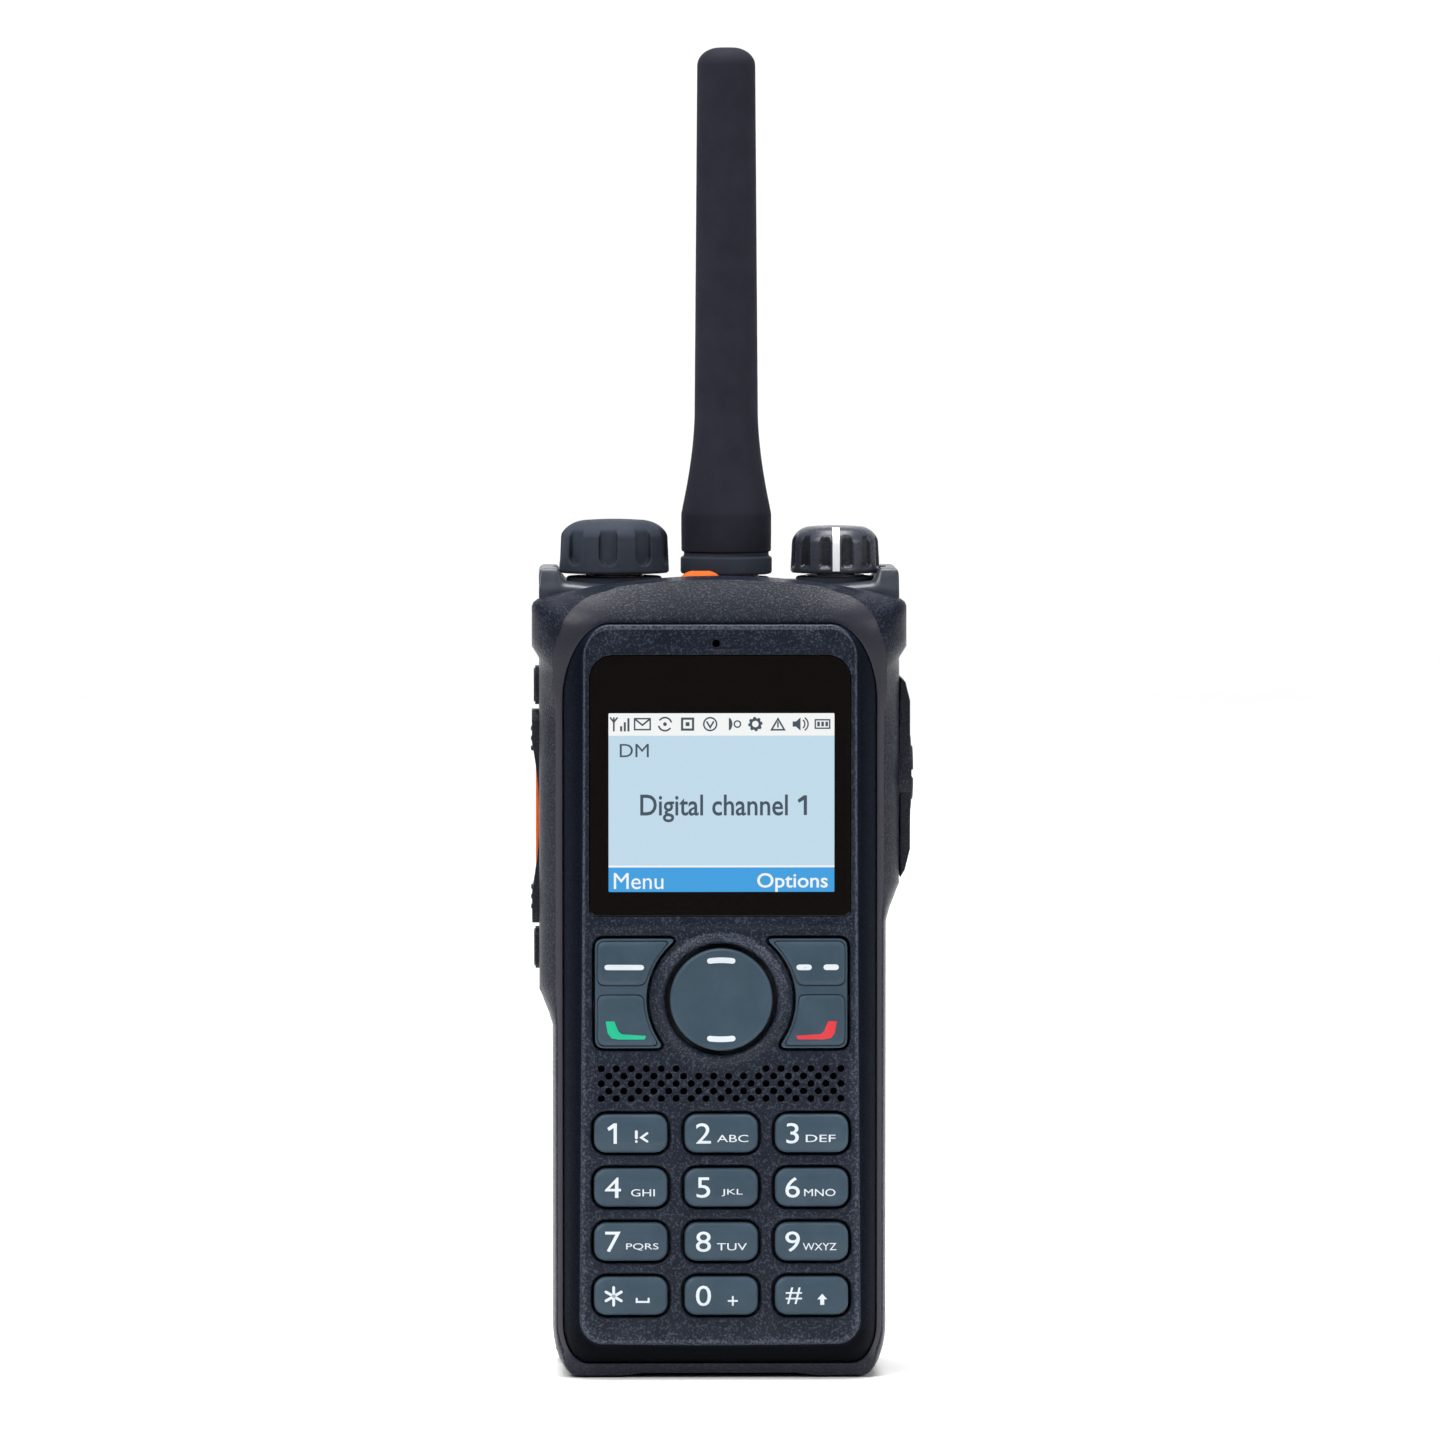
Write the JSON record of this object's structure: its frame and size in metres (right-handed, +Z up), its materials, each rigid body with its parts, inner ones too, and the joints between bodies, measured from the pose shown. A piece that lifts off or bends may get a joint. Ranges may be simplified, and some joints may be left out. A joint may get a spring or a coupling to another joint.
{
  "type": "two-way radio",
  "caption": "Hand-held two-way radio with a colour display, full keypad, two top knobs, push-to-talk key, screw-on antenna and rear battery.",
  "frame": {"origin": "centre of the base, on the surface that the radio stands on", "axes": "+Z up along the antenna, keypad and display face -Y, +X to the right as seen from the front"},
  "size_m": [0.0581, 0.0365, 0.2022],
  "materials": {
    "housing": "textured charcoal polycarbonate",
    "panel": "fine-textured charcoal polycarbonate",
    "deck": "satin charcoal polycarbonate",
    "gasket": "orange silicone",
    "metal": "die-cast aluminium",
    "window": "glossy black-backed acrylic",
    "display": "lit display",
    "frame": "white diffusing polycarbonate",
    "silicone": "dark silicone",
    "board": "solder-masked fibreglass",
    "steel": "tinned steel",
    "speaker": "black frame",
    "cloth": "black acoustic cloth",
    "keys": "slate-grey silicone-backed keycaps",
    "knobs": "black soft-touch rubber",
    "pointer": "white inlay",
    "antenna": "satin black sheath",
    "brass": "machined brass",
    "copper": "enamelled copper wire",
    "orange": "orange plastic",
    "light": "clear light pipe",
    "side_keys": "dark rubber",
    "battery": "textured charcoal polycarbonate",
    "cells": "shrink-wrapped cells",
    "gold": "gold-plated contacts"
  },
  "bodies": {
    "radio": {"main_housing": "housing", "front_panel": "panel", "panel_gasket": "gasket", "top_cover": "deck", "chassis": "metal", "display_window": "window", "lcd_panel": "display", "backlight_frame": "frame", "keypad_mat": "silicone", "keypad_board": "board", "main_board": "board", "shield_cans": "steel", "speaker": "speaker", "grille_cloth": "cloth", "microphone": "steel", "channel_encoder": "steel", "volume_control": "steel", "antenna_socket": "brass", "status_light": "light", "side_switch_board": "board", "accessory_contacts": "gold", "screws": "steel"},
    "key_1": {"key_1": "keys"},
    "key_2": {"key_2": "keys"},
    "key_3": {"key_3": "keys"},
    "key_4": {"key_4": "keys"},
    "key_5": {"key_5": "keys"},
    "key_6": {"key_6": "keys"},
    "key_7": {"key_7": "keys"},
    "key_8": {"key_8": "keys"},
    "key_9": {"key_9": "keys"},
    "key_star": {"key_star": "keys"},
    "key_0": {"key_0": "keys"},
    "key_hash": {"key_hash": "keys"},
    "function_key_left": {"function_key_left": "keys"},
    "function_key_right": {"function_key_right": "keys"},
    "call_key": {"call_key": "keys"},
    "end_key": {"end_key": "keys"},
    "navigation_key": {"navigation_key": "keys"},
    "channel_knob": {"channel_knob": "knobs", "channel_shaft": "metal"},
    "volume_knob": {"volume_knob": "knobs", "volume_pointer": "pointer", "volume_shaft": "metal"},
    "antenna_stud": {"antenna_stud": "brass"},
    "antenna": {"antenna_sheath": "antenna", "antenna_coil": "copper", "antenna_ring": "knobs"},
    "emergency_button": {"emergency_button": "orange"},
    "ptt_button": {"ptt_button": "side_keys", "ptt_insert": "orange"},
    "side_key_upper": {"side_key_upper": "side_keys"},
    "side_key_lower": {"side_key_lower": "side_keys"},
    "accessory_cover": {"accessory_cover": "side_keys"},
    "cover_screw": {"cover_screw": "side_keys"},
    "battery": {"battery_cover": "battery", "battery_plate": "battery", "battery_cells": "cells", "battery_contacts": "gold"},
    "battery_latch": {"battery_latch": "side_keys"}
  },
  "joints": [
    {"name": "key_1_press", "type": "slide", "parent": "radio", "child": "key_1", "axis": [0, 1, 0], "range_m": [0, 0.0004], "stiffness_N_per_m": 400},
    {"name": "key_2_press", "type": "slide", "parent": "radio", "child": "key_2", "axis": [0, 1, 0], "range_m": [0, 0.0004], "stiffness_N_per_m": 400},
    {"name": "key_3_press", "type": "slide", "parent": "radio", "child": "key_3", "axis": [0, 1, 0], "range_m": [0, 0.0004], "stiffness_N_per_m": 400},
    {"name": "key_4_press", "type": "slide", "parent": "radio", "child": "key_4", "axis": [0, 1, 0], "range_m": [0, 0.0004], "stiffness_N_per_m": 400},
    {"name": "key_5_press", "type": "slide", "parent": "radio", "child": "key_5", "axis": [0, 1, 0], "range_m": [0, 0.0004], "stiffness_N_per_m": 400},
    {"name": "key_6_press", "type": "slide", "parent": "radio", "child": "key_6", "axis": [0, 1, 0], "range_m": [0, 0.0004], "stiffness_N_per_m": 400},
    {"name": "key_7_press", "type": "slide", "parent": "radio", "child": "key_7", "axis": [0, 1, 0], "range_m": [0, 0.0004], "stiffness_N_per_m": 400},
    {"name": "key_8_press", "type": "slide", "parent": "radio", "child": "key_8", "axis": [0, 1, 0], "range_m": [0, 0.0004], "stiffness_N_per_m": 400},
    {"name": "key_9_press", "type": "slide", "parent": "radio", "child": "key_9", "axis": [0, 1, 0], "range_m": [0, 0.0004], "stiffness_N_per_m": 400},
    {"name": "key_star_press", "type": "slide", "parent": "radio", "child": "key_star", "axis": [0, 1, 0], "range_m": [0, 0.0004], "stiffness_N_per_m": 400},
    {"name": "key_0_press", "type": "slide", "parent": "radio", "child": "key_0", "axis": [0, 1, 0], "range_m": [0, 0.0004], "stiffness_N_per_m": 400},
    {"name": "key_hash_press", "type": "slide", "parent": "radio", "child": "key_hash", "axis": [0, 1, 0], "range_m": [0, 0.0004], "stiffness_N_per_m": 400},
    {"name": "function_key_left_press", "type": "slide", "parent": "radio", "child": "function_key_left", "axis": [0, 1, 0], "range_m": [0, 0.0004], "stiffness_N_per_m": 400},
    {"name": "function_key_right_press", "type": "slide", "parent": "radio", "child": "function_key_right", "axis": [0, 1, 0], "range_m": [0, 0.0004], "stiffness_N_per_m": 400},
    {"name": "call_key_press", "type": "slide", "parent": "radio", "child": "call_key", "axis": [0, 1, 0], "range_m": [0, 0.0004], "stiffness_N_per_m": 400},
    {"name": "end_key_press", "type": "slide", "parent": "radio", "child": "end_key", "axis": [0, 1, 0], "range_m": [0, 0.0004], "stiffness_N_per_m": 400},
    {"name": "navigation_key_rock", "type": "hinge", "parent": "radio", "child": "navigation_key", "pos_m": [0.00015, -0.0149, 0.058], "axis": [1, 0, 0], "range_deg": [-2, 2], "stiffness_Nm_per_rad": 0.3},
    {"name": "channel_knob_turn", "type": "hinge", "parent": "radio", "child": "channel_knob", "pos_m": [-0.0159, 0.0015, 0.125], "axis": [0, 0, 1], "range_deg": [-337.5, 0]},
    {"name": "volume_knob_turn", "type": "hinge", "parent": "radio", "child": "volume_knob", "pos_m": [0.0179, 0.0015, 0.125], "axis": [0, 0, 1], "range_deg": [-135, 135]},
    {"name": "antenna_lift", "type": "slide", "parent": "radio", "child": "antenna_stud", "axis": [0, 0, 1], "range_m": [0, 0.005]},
    {"name": "antenna_turn", "type": "hinge", "parent": "antenna_stud", "child": "antenna", "pos_m": [0.0013, 0.004, 0.126], "axis": [0, 0, 1], "range_deg": [0, 1800]},
    {"name": "emergency_button_press", "type": "slide", "parent": "radio", "child": "emergency_button", "axis": [0, 0, -1], "range_m": [0, 0.0005], "stiffness_N_per_m": 600},
    {"name": "ptt_button_press", "type": "slide", "parent": "radio", "child": "ptt_button", "axis": [1, 0, 0], "range_m": [0, 0.0006], "stiffness_N_per_m": 800},
    {"name": "side_key_upper_press", "type": "slide", "parent": "radio", "child": "side_key_upper", "axis": [1, 0, 0], "range_m": [0, 0.0005], "stiffness_N_per_m": 500},
    {"name": "side_key_lower_press", "type": "slide", "parent": "radio", "child": "side_key_lower", "axis": [1, 0, 0], "range_m": [0, 0.0005], "stiffness_N_per_m": 500},
    {"name": "accessory_cover_lift", "type": "slide", "parent": "radio", "child": "accessory_cover", "axis": [1, 0, 0], "range_m": [0, 0.015]},
    {"name": "cover_screw_turn", "type": "hinge", "parent": "accessory_cover", "child": "cover_screw", "pos_m": [0.0285, -0.003, 0.0916], "axis": [1, 0, 0], "continuous": true},
    {"name": "battery_remove", "type": "slide", "parent": "radio", "child": "battery", "axis": [0, 1, 0], "range_m": [0, 0.03]},
    {"name": "battery_latch_press", "type": "slide", "parent": "battery", "child": "battery_latch", "axis": [0, 0, 1], "range_m": [0, 0.001], "stiffness_N_per_m": 500}
  ],
  "couplings": [
    {"joint": "antenna_turn", "follows": "antenna_lift", "rad_per_m": 6283.2}
  ]
}
